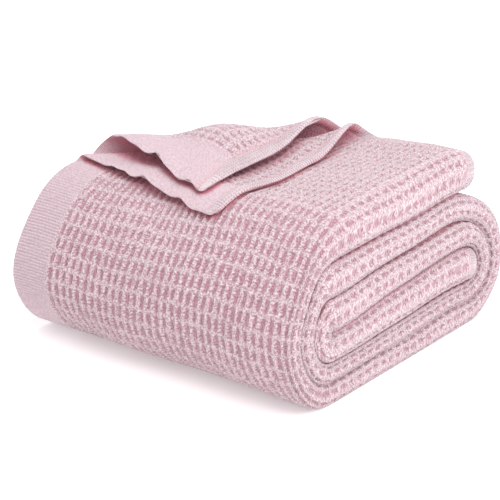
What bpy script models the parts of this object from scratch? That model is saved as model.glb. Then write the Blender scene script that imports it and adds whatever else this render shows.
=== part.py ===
"""A waffle weave cotton blanket, folded in six plies and wound up into a flat, loose roll.

The blanket is one sheet of cloth. It is folded in half and then in thirds across its width, which
makes a band of six plies with both hems at the left end (X low) and one closed fold at the right
end (X high). The band is wound from its core outwards, clockwise as seen from the right end, in
six flat stretches. The free corner of the two outer plies is turned back over the top.

Frame: X runs along the roll, Y from its front to its rear, Z up, in metres. The origin is on the
floor under the middle of the roll.
"""

import math
from typing import NamedTuple

import bmesh
import bpy
import numpy as np

CLOTH = 0.0026  # thickness of the cloth
ROLL_LENGTH = 0.380  # along X, from the hems to the closed fold
ROLL_DEPTH = 0.408  # along Y, over the front and rear turns
HEM_INSET = 0.010  # how far the folds at the left end stop short of the hems
OUTER_PLY = 2.5  # pitches from the middle of the band to its outermost ply
FOLD_PITCH = 0.0062  # usual distance between plies, for the flat width of the folds
BAND = 0.038  # usual thickness of the band at its folds, for the flat width of the plies
THIN_ANGLE = math.radians(50.0)  # angle of a turn over which the band is drawn thin
PATH_STEP = 0.001  # spacing of the points that the wound path is measured with


class Stretch(NamedTuple):
    """A flat stretch of the band: middle height and thickness at its front and rear ends."""

    name: str
    front_y: float
    front_z: float
    front_thick: float
    rear_y: float
    rear_z: float
    rear_thick: float

    def ends(self):
        """Its front and rear ends as (y, z, thickness)."""
        front = (self.front_y, self.front_z, self.front_thick)
        rear = (self.rear_y, self.rear_z, self.rear_thick)
        return front, rear


class Turn(NamedTuple):
    """A turn between two stretches: its furthest point and the band's thickness there."""

    name: str
    apex_y: float
    apex_z: float
    thick: float
    quarter_rows: int  # rows of the sheet over each quarter of the turn

    def apex(self):
        """Its furthest point as (y, z, thickness)."""
        return self.apex_y, self.apex_z, self.thick


class Fold(NamedTuple):
    """A fold across the band, from one ply to another; heights count in pitches."""

    name: str
    side: int  # +1 at the right end, -1 at the left end
    start: float
    end: float
    face_out: int  # +1 where the cloth's face is on the outside of the fold
    steps: int


class Ridge(NamedTuple):
    """Bend of a turned corner at a place along its fold line: its height and its outward bow."""

    along: float
    height: float
    bow: float


class Flap(NamedTuple):
    """How a turned corner lies over the top of the roll."""

    stretch: float  # how far the loose cloth is pulled out, away from the fold line
    slide: float  # how far it slides along the fold line, for each metre away from the line
    fall: float  # length over which it comes down from its ridge


STRETCHES = (
    Stretch("core", 0.080, 0.0650, 0.0300, 0.350, 0.0720, 0.0400),
    Stretch("above core", 0.080, 0.1015, 0.0360, 0.320, 0.1120, 0.0280),
    Stretch("below core", 0.076, 0.0378, 0.0190, 0.330, 0.0385, 0.0190),
    Stretch("upper", 0.078, 0.1400, 0.0345, 0.292, 0.1465, 0.0260),
    Stretch("bottom", 0.080, 0.0135, 0.0270, 0.345, 0.0135, 0.0270),
    Stretch("top", 0.106, 0.1830, 0.0410, 0.341, 0.1845, 0.0430),
)
TURNS = (
    Turn("inner front", 0.0610, 0.0830, 0.0280, 3),
    Turn("inner rear", 0.3695, 0.0720, 0.0210, 3),
    Turn("middle front", 0.0330, 0.0870, 0.0200, 4),
    Turn("outer rear", 0.3960, 0.0740, 0.0245, 4),
    Turn("outer front", 0.0105, 0.0880, 0.0210, 4),
)
FOLDS = (
    Fold("outer right", 1, 2.5, -2.5, 1, 6),
    Fold("outer left", -1, -2.5, 0.5, 1, 4),
    Fold("middle", 1, 0.5, -0.5, 1, 2),
    Fold("inner left", -1, -0.5, -1.5, -1, 2),
    Fold("inner right", 1, -1.5, 1.5, -1, 4),
)
END_ROUNDING = 0.026  # length over which the band's two ends grow thinner
END_THICKNESS = 0.52  # share of the thickness left at the very ends

# The turned corner of the two outer plies. Its fold line is set by its distance from the corner
# and by its slope: the share of its normal that runs along the hem and along the end.
CORNER_DISTANCE = 0.1896
CORNER_ACROSS = 0.591
CORNER_ALONG = math.sqrt(1.0 - CORNER_ACROSS**2)
OUTER_RIDGES = (
    Ridge(0.000, 0.0090, 0.000),
    Ridge(0.150, 0.0095, 0.000),
    Ridge(0.205, 0.0110, 0.000),
    Ridge(0.260, 0.0150, 0.007),
    Ridge(0.330, 0.0180, 0.032),
    Ridge(0.410, 0.0150, 0.040),
)
SECOND_RIDGES = (
    Ridge(0.000, 0.0370, 0.006),
    Ridge(0.100, 0.0380, 0.001),
    Ridge(0.165, 0.0480, 0.001),
    Ridge(0.225, 0.0370, 0.012),
    Ridge(0.285, 0.0450, 0.034),
    Ridge(0.340, 0.0400, 0.045),
    Ridge(0.410, 0.0360, 0.045),
)
OUTER_FLAP = Flap(0.95, 0.09, 0.095)
SECOND_FLAP = Flap(1.26, 0.13, 0.140)
FLAP_GAP = 0.0062  # from ply to ply where the turned corner lies on the top
HEM_LIFT = 0.008  # how far the turned hems rise again halfway down their length
HEM_LIFT_ALONG = 0.085  # middle of that rise, along the fold line from the hem
HEM_LIFT_BACK = 0.090  # middle of that rise, from the fold line
HEM_LIFT_REACH = 0.045  # how far around its middle that rise fades

# The left end of the roll is less tightly packed, so it sags, most of all at the rear.
SAG_LEFT = 0.11  # share of its height that the roll loses at the left end
SAG_REAR = 0.09  # share that it loses besides at the left end's rear
SAG_FROM_X = 0.06
SAG_TO_X = 0.33
SAG_FROM_Y = 0.15
SAG_TO_Y = 0.35

# Where the sheet has rows and columns of points. Rows over each other share their places in Y.
STRETCH_ROWS = (0.172, 0.232, 0.292)  # Y of the rows along every stretch
END_ROWS = (0.0, 0.009, END_ROUNDING)  # distance of the rows from the band's two ends
PLY_STEPS = 3  # steps of the columns across each ply
OUTER_CUTS = (0.0, 0.005, 0.010, 0.015, 0.021, 0.028, 0.036, 0.046, 0.056, 0.068, 0.100, 0.150)
SECOND_CUTS = (0.0, 0.012, 0.024, 0.036, 0.048, 0.060, 0.074, 0.090, 0.120, 0.160)
CROSS_CUT = 0.042  # spacing of the cuts across the fold line of a turned corner
CUT_MERGE = 1e-6  # distance at which a cut uses a point that is there already
CROSS_MARGIN = 0.020  # how far before the fold line those cuts start


def smooth(amount):
    """Ease from 0 to 1, flat at both ends."""
    part = np.clip(amount, 0.0, 1.0)
    return part * part * (3.0 - 2.0 * part)


def straight_points(start, end):
    """Points of a flat stretch as (y, z, thickness), from one end to the other."""
    count = max(2, int(abs(end[0] - start[0]) / PATH_STEP))
    part = np.linspace(0.0, 1.0, count)
    y = start[0] + (end[0] - start[0]) * part
    z = start[1] + (end[1] - start[1]) * smooth(part)
    thick = start[2] + (end[2] - start[2]) * smooth(part)
    return np.stack([y, z, thick], axis=1)


def quarter_points(flat_end, apex):
    """Points of a quarter ellipse as (y, z, thickness), from a flat stretch to a turn's apex."""
    reach = abs(apex[0] - flat_end[0]) + abs(apex[1] - flat_end[1])
    angle = np.linspace(0.0, math.pi / 2.0, int(reach / PATH_STEP))
    y = flat_end[0] + (apex[0] - flat_end[0]) * np.sin(angle)
    z = apex[1] + (flat_end[1] - apex[1]) * np.cos(angle)
    thick = flat_end[2] + (apex[2] - flat_end[2]) * smooth(angle / THIN_ANGLE)
    return np.stack([y, z, thick], axis=1)


def stretch_rows(points):
    """Which points of a flat stretch carry a row of the sheet."""
    y = points[:, 0]
    inner = [place for place in STRETCH_ROWS if y.min() < place < y.max()]
    return [0] + [int(np.argmin(np.abs(y - place))) for place in inner] + [len(y) - 1]


def quarter_rows(points, count):
    """Which points of a quarter turn carry a row of the sheet."""
    return np.linspace(0, len(points) - 1, count + 1).round().astype(int)


class WoundPath:
    """The middle line of the wound band, measured along its length from the core outwards."""

    def __init__(self):
        pieces = []
        rows = []
        for index, stretch in enumerate(STRETCHES):
            start, end = stretch.ends()
            if index % 2 == 0:
                start, end = end, start
            if index > 0:
                turn = TURNS[index - 1]
                pieces.append(quarter_points(start, turn.apex())[::-1])
                rows.append(quarter_rows(pieces[-1], turn.quarter_rows))
            pieces.append(straight_points(start, end))
            rows.append(stretch_rows(pieces[-1]))
            if index < len(TURNS):
                turn = TURNS[index]
                pieces.append(quarter_points(end, turn.apex()))
                rows.append(quarter_rows(pieces[-1], turn.quarter_rows))
        points = np.concatenate([piece[:-1] for piece in pieces] + [pieces[-1][-1:]])
        gaps = np.hypot(np.diff(points[:, 0]), np.diff(points[:, 1]))
        self.distance = np.concatenate([[0.0], np.cumsum(gaps)])
        self.length = self.distance[-1]
        self.y, self.z, self.thick = points.T
        self.thick = self.thick * self.end_rounding()
        along_y = np.gradient(self.y, self.distance)
        along_z = np.gradient(self.z, self.distance)
        size = np.hypot(along_y, along_z)
        self.normal_y = -along_z / size
        self.normal_z = along_y / size
        self.stations = self.row_stations(pieces, rows)

    def end_rounding(self):
        """Share of the thickness along the band, which grows thinner at both of its ends."""
        from_end = np.minimum(self.distance, self.length - self.distance)
        missing = 1.0 - np.clip(from_end / END_ROUNDING, 0.0, 1.0)
        return END_THICKNESS + (1.0 - END_THICKNESS) * np.sqrt(1.0 - missing**2)

    def row_stations(self, pieces, rows):
        """Distances along the path at which the sheet has a row of points."""
        stations = set(END_ROWS) | {self.length - value for value in END_ROWS}
        first = 0
        for piece, indices in zip(pieces, rows):
            for distance in self.distance[first + np.array(indices)]:
                if END_ROUNDING < distance < self.length - END_ROUNDING:
                    stations.add(distance)
            first += len(piece) - 1
        return sorted(stations)

    def at(self, distance):
        """Middle point, outward normal and thickness at distances along the band."""
        columns = (self.y, self.z, self.normal_y, self.normal_z, self.thick)
        return [np.interp(distance, self.distance, column) for column in columns]


PATH = WoundPath()


def pitch_of(thick):
    """Distance from ply to ply in a band of that thickness over all."""
    return (thick - CLOTH) / (2.0 * OUTER_PLY)


def on_band(x, height, distance):
    """Point of the roll at a height above the band's middle line, as (x, y, z) columns."""
    mid_y, mid_z, normal_y, normal_z, _ = PATH.at(distance)
    y = mid_y + normal_y * height
    z = mid_z + normal_z * height
    left = 1.0 - smooth((x - SAG_FROM_X) / (SAG_TO_X - SAG_FROM_X))
    rear = smooth((y - SAG_FROM_Y) / (SAG_TO_Y - SAG_FROM_Y))
    z = z * (1.0 - left * (SAG_LEFT + SAG_REAR * rear))
    return np.stack([x - ROLL_LENGTH / 2.0, y - ROLL_DEPTH / 2.0, z], axis=1)


def fold_width(fold):
    """Width of flat cloth that a fold takes up."""
    return math.pi * abs(fold.start - fold.end) / 2.0 * FOLD_PITCH


def right_centre(thick):
    """X of the middle of the folds at the right end, for a band of that thickness."""
    return ROLL_LENGTH - thick / 2.0


def left_centre(thick):
    """X of the middle of the folds at the left end, for a band of that thickness."""
    return HEM_INSET + 1.5 * pitch_of(thick) + CLOTH / 2.0


RUN = right_centre(BAND)  # flat width from a hem to the first fold
PLY_RUN = RUN - left_centre(BAND)  # flat width between two folds


def widths():
    """Flat widths of the plies and folds in turn, from the first hem to the second."""
    sizes = [RUN]
    for index, fold in enumerate(FOLDS):
        sizes.append(fold_width(fold))
        sizes.append(PLY_RUN if index < len(FOLDS) - 1 else RUN)
    return sizes


EDGES = np.concatenate([[0.0], np.cumsum(widths())])  # where each ply or fold starts and ends
WIDTH = EDGES[-1]


def across_stations():
    """Places across the flat cloth where it has a column of points."""
    stations = [0.0]
    for index, (start, end) in enumerate(zip(EDGES[:-1], EDGES[1:])):
        is_fold = index % 2 == 1
        count = FOLDS[index // 2].steps if is_fold else PLY_STEPS
        stations.extend(np.linspace(start, end, count + 1)[1:])
    return stations


def ridge_at(along, ply):
    """Height and outward bow of the turned corner's bend at places along its fold line."""
    ridges = OUTER_RIDGES if ply == 0 else SECOND_RIDGES
    places = np.array([ridge.along for ridge in ridges])
    index = np.clip(np.searchsorted(places, along) - 1, 0, len(places) - 2)
    part = smooth((along - places[index]) / (places[index + 1] - places[index]))
    heights = np.array([ridge.height for ridge in ridges])
    bows = np.array([ridge.bow for ridge in ridges])
    height = heights[index] + (heights[index + 1] - heights[index]) * part
    bow = bows[index] + (bows[index + 1] - bows[index]) * part
    return height, bow


def turn_corner(hem, end, side, ply):
    """Bend the corner of an outer ply back over its fold line.

    hem and end are distances from the hem and from the cloth's end, side is the distance from
    the sheet's middle towards its outer face. Returns where the point lies over the flat ply,
    as new hem and end distances, and its height there in place of side.
    """
    beyond = CORNER_DISTANCE - hem * CORNER_ACROSS - end * CORNER_ALONG
    foot_hem = hem + beyond * CORNER_ACROSS
    foot_end = end + beyond * CORNER_ALONG
    hem_start = CORNER_DISTANCE / CORNER_ALONG
    along = foot_hem * CORNER_ALONG + (hem_start - foot_end) * CORNER_ACROSS
    height, bow = ridge_at(along, ply)
    flap = OUTER_FLAP if ply == 0 else SECOND_FLAP
    radius = height / 2.0
    past_bow = beyond - bow
    angle = np.clip(past_bow / radius, 0.0, math.pi)
    back = np.maximum(past_bow - math.pi * radius, 0.0) * flap.stretch
    shift = back - bow - (radius - side) * np.sin(angle)
    slide = back * flap.slide
    pitch = pitch_of(PATH.at(PATH.length - foot_end)[4])
    rest = FLAP_GAP if ply == 0 else pitch + 2.0 * FLAP_GAP
    flap_height = height + (rest - height) * smooth(back / flap.fall) - side
    away = np.hypot(along - HEM_LIFT_ALONG, back - bow - HEM_LIFT_BACK)
    flap_height = flap_height + HEM_LIFT * np.exp(-((away / HEM_LIFT_REACH) ** 2))
    bend_height = radius - (radius - side) * np.cos(angle)
    turned = past_bow > 0.0
    new_hem = np.where(turned, foot_hem + shift * CORNER_ACROSS + slide * CORNER_ALONG, hem)
    new_end = np.where(turned, foot_end + shift * CORNER_ALONG - slide * CORNER_ACROSS, end)
    new_height = np.where(back > 0.0, flap_height, bend_height)
    return new_hem, new_end, np.where(turned, new_height, side)


def place_ply(across, distance, side, index):
    """Points on one of the six plies; index counts the plies from the first hem."""
    start, end = EDGES[2 * index], EDGES[2 * index + 1]
    level = FOLDS[0].start if index == 0 else FOLDS[index - 1].end
    upward = 1.0 if index % 2 == 0 else -1.0
    face = side * upward
    if index in (0, 5):
        hem = across if index == 0 else WIDTH - across
        hem, cloth_end, face = turn_corner(hem, PATH.length - distance, face, min(index, 1))
        distance = PATH.length - cloth_end
        thick = PATH.at(distance)[4]
        x = hem * right_centre(thick) / RUN
    else:
        thick = PATH.at(distance)[4]
        part = (across - start) / (end - start)
        ends = (right_centre(thick), left_centre(thick))
        from_x, to_x = ends if index % 2 == 1 else ends[::-1]
        x = from_x + (to_x - from_x) * part
    return on_band(x, level * pitch_of(thick) + face, distance)


def place_fold(across, distance, side, index):
    """Points on one of the five folds across the band."""
    fold = FOLDS[index]
    start, end = EDGES[2 * index + 1], EDGES[2 * index + 2]
    angle = math.pi * (across - start) / (end - start)
    thick = PATH.at(distance)[4]
    pitch = pitch_of(thick)
    reach = (fold.start - fold.end) / 2.0
    rise = math.copysign(1.0, reach)
    centre = right_centre(thick) if fold.side > 0 else left_centre(thick)
    radius = abs(reach) * pitch + fold.face_out * side
    x = centre + fold.side * radius * np.sin(angle)
    height = (fold.start + fold.end) / 2.0 * pitch + rise * radius * np.cos(angle)
    return on_band(x, height, distance)


def place(across, distance, side):
    """Points of the rolled blanket for places on the flat cloth."""
    points = np.zeros((len(across), 3))
    segment = np.clip(np.searchsorted(EDGES, across, side="right") - 1, 0, len(EDGES) - 2)
    for number in range(len(EDGES) - 1):
        here = segment == number
        put = place_ply if number % 2 == 0 else place_fold
        points[here] = put(across[here], distance[here], side, number // 2)
    return points


def cut_corner(mesh, is_first_hem):
    """Cut the flat cloth along and across the fold line of one turned corner."""
    sign = 1.0 if is_first_hem else -1.0
    corner = np.array([0.0 if is_first_hem else WIDTH, PATH.length, 0.0])
    normal = np.array([sign * CORNER_ACROSS, -CORNER_ALONG, 0.0])
    tangent = np.array([sign * CORNER_ALONG, CORNER_ACROSS, 0.0])
    line_start = corner - np.array([0.0, CORNER_DISTANCE / CORNER_ALONG, 0.0])
    line_length = CORNER_DISTANCE / (CORNER_ACROSS * CORNER_ALONG)
    along_cuts = OUTER_CUTS if is_first_hem else SECOND_CUTS
    cuts = [(corner + (CORNER_DISTANCE - cut) * normal, normal, RUN) for cut in along_cuts]
    for place in np.arange(CROSS_CUT, line_length - CROSS_CUT / 2.0, CROSS_CUT):
        cuts.append((line_start + place * tangent, tangent, CROSS_MARGIN))
    for point, direction, margin in cuts:
        near = set()
        for face in mesh.faces:
            offset = np.array(face.calc_center_median()) - corner
            if offset @ normal < CORNER_DISTANCE + margin and abs(offset[0]) < RUN:
                near.update([face, *face.edges, *face.verts])
        bmesh.ops.bisect_plane(
            mesh, geom=list(near), dist=CUT_MERGE, plane_co=point, plane_no=direction
        )


def flat_cloth():
    """The cloth laid flat, as a mesh of cells: x across it and y along it."""
    mesh = bmesh.new()
    columns = across_stations()
    rows = [[mesh.verts.new((x, y, 0.0)) for x in columns] for y in PATH.stations]
    for low, high in zip(rows[:-1], rows[1:]):
        for number in range(len(columns) - 1):
            mesh.faces.new((low[number], low[number + 1], high[number + 1], high[number]))
    cut_corner(mesh, True)
    cut_corner(mesh, False)
    bmesh.ops.triangulate(mesh, faces=mesh.faces[:])
    return mesh


def rolled_solid(flat):
    """Close the flat cloth into a thin solid in its rolled shape, as points and faces."""
    flat.verts.index_update()
    places = np.array([vertex.co for vertex in flat.verts])
    count = len(places)
    faces = [[vertex.index for vertex in face.verts] for face in flat.faces]
    rim = [edge for edge in flat.edges if len(edge.link_faces) == 1]
    outer = place(places[:, 0], places[:, 1], CLOTH / 2.0)
    inner = place(places[:, 0], places[:, 1], -CLOTH / 2.0)
    solid = faces + [[index + count for index in reversed(face)] for face in faces]
    for edge in rim:
        loop = edge.link_loops[0]
        first, second = loop.vert.index, loop.link_loop_next.vert.index
        solid.append([first, first + count, second + count, second])
    return np.concatenate([outer, inner]), solid


def cotton(name):
    """Pale pink cotton."""
    material = bpy.data.materials.new(name)
    material.use_nodes = True
    shader = material.node_tree.nodes["Principled BSDF"]
    shader.inputs["Base Color"].default_value = (0.72, 0.47, 0.53, 1.0)
    shader.inputs["Roughness"].default_value = 0.95
    shader.inputs["Metallic"].default_value = 0.0
    return material


def build_blanket():
    """The whole blanket, as one thin solid."""
    flat = flat_cloth()
    points, faces = rolled_solid(flat)
    flat.free()
    mesh = bpy.data.meshes.new("blanket")
    mesh.from_pydata(points.tolist(), [], faces)
    mesh.materials.append(cotton("pink cotton"))
    mesh.shade_smooth()
    blanket = bpy.data.objects.new("blanket", mesh)
    bpy.context.collection.objects.link(blanket)
    return blanket


def main():
    """Clear the scene and build the blanket."""
    for item in list(bpy.data.objects):
        bpy.data.objects.remove(item, do_unlink=True)
    build_blanket()


main()
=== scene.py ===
"""Looks of a pale pink waffle weave cotton blanket, folded and wound up into a flat, loose roll.

The blanket is one sheet of cloth. It is folded into a band of six plies, and the band is wound up
with its hems at the left end and its closed fold at the right end. The free corner of the two
outer plies is turned back over the top. A plain closed cloth carries the whole shape, and finer
layers of waffle weave lie on it wherever it shows.

Frame: X runs along the roll, Y from its front to its rear, Z up, in metres, with the origin on the
floor under the middle of the roll. Places on the flat cloth are its distance across, from the
first hem, and its distance along, from the end at the core.
"""

import logging
import math
from dataclasses import dataclass, field
from enum import Enum
from functools import partial

import bmesh
import bpy
import numpy as np
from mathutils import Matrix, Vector
from mathutils.bvhtree import BVHTree


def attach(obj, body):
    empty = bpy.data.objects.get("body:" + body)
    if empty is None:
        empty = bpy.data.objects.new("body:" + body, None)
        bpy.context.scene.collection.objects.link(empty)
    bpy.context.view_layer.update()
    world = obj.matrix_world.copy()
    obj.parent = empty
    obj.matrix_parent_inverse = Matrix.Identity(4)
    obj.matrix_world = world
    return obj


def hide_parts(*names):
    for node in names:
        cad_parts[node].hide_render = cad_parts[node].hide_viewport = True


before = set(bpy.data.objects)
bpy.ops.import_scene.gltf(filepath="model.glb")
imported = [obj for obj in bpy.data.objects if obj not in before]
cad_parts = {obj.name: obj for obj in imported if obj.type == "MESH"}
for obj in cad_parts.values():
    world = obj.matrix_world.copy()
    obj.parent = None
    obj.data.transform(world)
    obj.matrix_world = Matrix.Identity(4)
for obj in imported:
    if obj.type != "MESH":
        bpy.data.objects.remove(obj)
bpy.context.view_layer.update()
LOG = logging.getLogger("blanket")
NUDGE = 0.0005  # step out of the cloth that gives its outward direction

Array = np.ndarray


class Side(Enum):
    """Which side of the cloth a layer lies on."""

    FACE = 1
    BACK = -1


def smooth(amount: Array) -> Array:
    """Ease from 0 to 1, flat at both ends."""
    part = np.clip(amount, 0.0, 1.0)
    return part * part * (3.0 - 2.0 * part)


def linear_rgb(colour: str) -> tuple[float, float, float, float]:
    """Turn an sRGB hex colour into linear light.

    Args:
        colour: The colour as six hex digits after a hash.

    Returns:
        Red, green, blue and an alpha of 1.
    """
    channels = [int(colour[place : place + 2], 16) / 255.0 for place in (1, 3, 5)]
    red, green, blue = (
        value / 12.92 if value <= 0.04045 else ((value + 0.055) / 1.055) ** 2.4
        for value in channels
    )
    return red, green, blue, 1.0


def add_node(
    tree: bpy.types.NodeTree,
    kind: str,
    links: dict[int | str, object] | None = None,
    values: dict[int | str, object] | None = None,
    **settings: object,
) -> bpy.types.Node:
    """Add one node to a tree.

    Args:
        tree: The shader or geometry tree.
        kind: The node's type name.
        links: Output sockets to link, by the input's number or name.
        values: Plain values of inputs, by the input's number or name.
        settings: Settings of the node itself.

    Returns:
        The new node.
    """
    node = tree.nodes.new(kind)
    for name, value in settings.items():
        setattr(node, name, value)
    for key, value in (values or {}).items():
        node.inputs[key].default_value = value
    for key, socket in (links or {}).items():
        tree.links.new(socket, node.inputs[key])
    return node


def work_out(
    tree: bpy.types.NodeTree, operation: str, *terms: object, kind: str = "ShaderNodeMath"
) -> bpy.types.NodeSocket:
    """Add a node that calculates with sockets and plain values.

    Args:
        tree: The shader or geometry tree.
        operation: What the node does.
        terms: Its inputs in order, each a socket or a plain value.
        kind: The node's type name.

    Returns:
        The node's result.
    """
    links = {n: term for n, term in enumerate(terms) if isinstance(term, bpy.types.NodeSocket)}
    values = {n: term for n, term in enumerate(terms) if n not in links}
    return add_node(tree, kind, links, values, operation=operation).outputs[0]


def node_group(name: str, inputs: dict[str, str]) -> bpy.types.NodeTree:
    """Start a Geometry Nodes tree that takes a mesh, a material and named sizes.

    Args:
        name: The tree's name.
        inputs: Kind of socket of each size, by its name.

    Returns:
        The tree, without any node.
    """
    tree = bpy.data.node_groups.new(name, "GeometryNodeTree")
    tree.interface.new_socket("Geometry", in_out="OUTPUT", socket_type="NodeSocketGeometry")
    kinds = {"Geometry": "NodeSocketGeometry", "Material": "NodeSocketMaterial", **inputs}
    for label, kind in kinds.items():
        tree.interface.new_socket(label, in_out="INPUT", socket_type=kind)
    return tree


def finish_group(tree: bpy.types.NodeTree, made: object, material: object) -> None:
    """End a Geometry Nodes tree: realize what was made and set its material."""
    whole = add_node(tree, "GeometryNodeRealizeInstances", {0: made}).outputs[0]
    dressed = add_node(
        tree, "GeometryNodeSetMaterial", {"Geometry": whole, "Material": material}
    ).outputs[0]
    add_node(tree, "NodeGroupOutput", {0: dressed})


def pass_through(
    piece: bpy.types.Object,
    tree: bpy.types.NodeTree,
    sizes: dict[str, float | int],
    material: bpy.types.Material,
) -> None:
    """Put a piece through a Geometry Nodes tree and keep what comes out as its plain mesh.

    Args:
        piece: The piece.
        tree: The tree.
        sizes: Values of the tree's inputs, by name.
        material: Value of its Material input.
    """
    modifier = piece.modifiers.new(tree.name, "NODES")
    modifier.node_group = tree
    values = {**sizes, "Material": material}
    for item in tree.interface.items_tree:
        if item.in_out == "INPUT" and item.name in values:
            modifier[item.identifier] = values[item.name]
    graph = bpy.context.evaluated_depsgraph_get()
    made = bpy.data.meshes.new_from_object(piece.evaluated_get(graph))
    piece.modifiers.remove(modifier)
    before = piece.data
    piece.data = made
    made.name = piece.name
    bpy.data.meshes.remove(before)


def new_piece(
    name: str, points: Array, edges: object, faces: object, material: object = None
) -> bpy.types.Object:
    """Make a smoothly shaded object and put it in the scene.

    Args:
        name: Name of the object and its mesh.
        points: Its points.
        edges: Pairs of points, where there are no faces.
        faces: The points of each face.
        material: What it is dressed in, if anything yet.

    Returns:
        The object.
    """
    mesh = bpy.data.meshes.new(name)
    mesh.from_pydata(points, edges, faces)
    mesh.shade_smooth()
    if material is not None:
        mesh.materials.append(material)
    piece = bpy.data.objects.new(name, mesh)
    bpy.context.collection.objects.link(piece)
    return piece


def points_and_normals(mesh: bpy.types.Mesh) -> tuple[Array, Array]:
    """Points of a mesh and its normals there, in rows."""
    points = np.zeros(len(mesh.vertices) * 3, dtype=np.float32)
    normals = points.copy()
    mesh.vertices.foreach_get("co", points)
    mesh.vertex_normals.foreach_get("vector", normals)
    return points.reshape(-1, 3), normals.reshape(-1, 3)


def store(piece: bpy.types.Object, values: dict[str, Array]) -> None:
    """Store attributes of a piece's points: one number each, or a vector each in rows."""
    for name, numbers in values.items():
        kind, part = ("FLOAT_VECTOR", "vector") if numbers.ndim == 2 else ("FLOAT", "value")
        attribute = piece.data.attributes.new(name, kind, "POINT")
        attribute.data.foreach_set(part, numbers.ravel())


@dataclass(frozen=True)
class Stretch:
    """A flat stretch of the band, with each of its ends as (y, z, thickness)."""

    front: tuple[float, float, float]
    rear: tuple[float, float, float]


@dataclass(frozen=True)
class Fold:
    """A fold across the band, from one ply to another; heights count in pitches."""

    side: int  # 1 at the right end, -1 at the left end
    start: float
    end: float
    face_out: int  # 1 where the cloth's face is on the outside of the fold


@dataclass(frozen=True)
class Ridge:
    """Bend of a turned corner at a place along its fold line: its height and outward bow."""

    along: float
    height: float
    bow: float


@dataclass(frozen=True)
class Flap:
    """How one ply of the turned corner bends over and lies on the top of the roll."""

    ridges: tuple[Ridge, ...]
    stretch: float  # how far the turned cloth reaches, as a share of its flat length
    slide: float  # how far it slides along the fold line for each metre from the bend
    fall: float  # distance from the bend over which it comes down to rest

    def ridge_at(self, along: Array) -> tuple[Array, Array]:
        """Shape of the bend along its fold line.

        Args:
            along: Distances along the fold line from the hem.

        Returns:
            Height and outward bow of the bend there.
        """
        places = np.array([ridge.along for ridge in self.ridges])
        heights = np.array([ridge.height for ridge in self.ridges])
        bows = np.array([ridge.bow for ridge in self.ridges])
        index = np.clip(np.searchsorted(places, along) - 1, 0, len(places) - 2)
        part = smooth((along - places[index]) / (places[index + 1] - places[index]))
        height = heights[index] + (heights[index + 1] - heights[index]) * part
        bow = bows[index] + (bows[index + 1] - bows[index]) * part
        return height, bow


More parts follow.
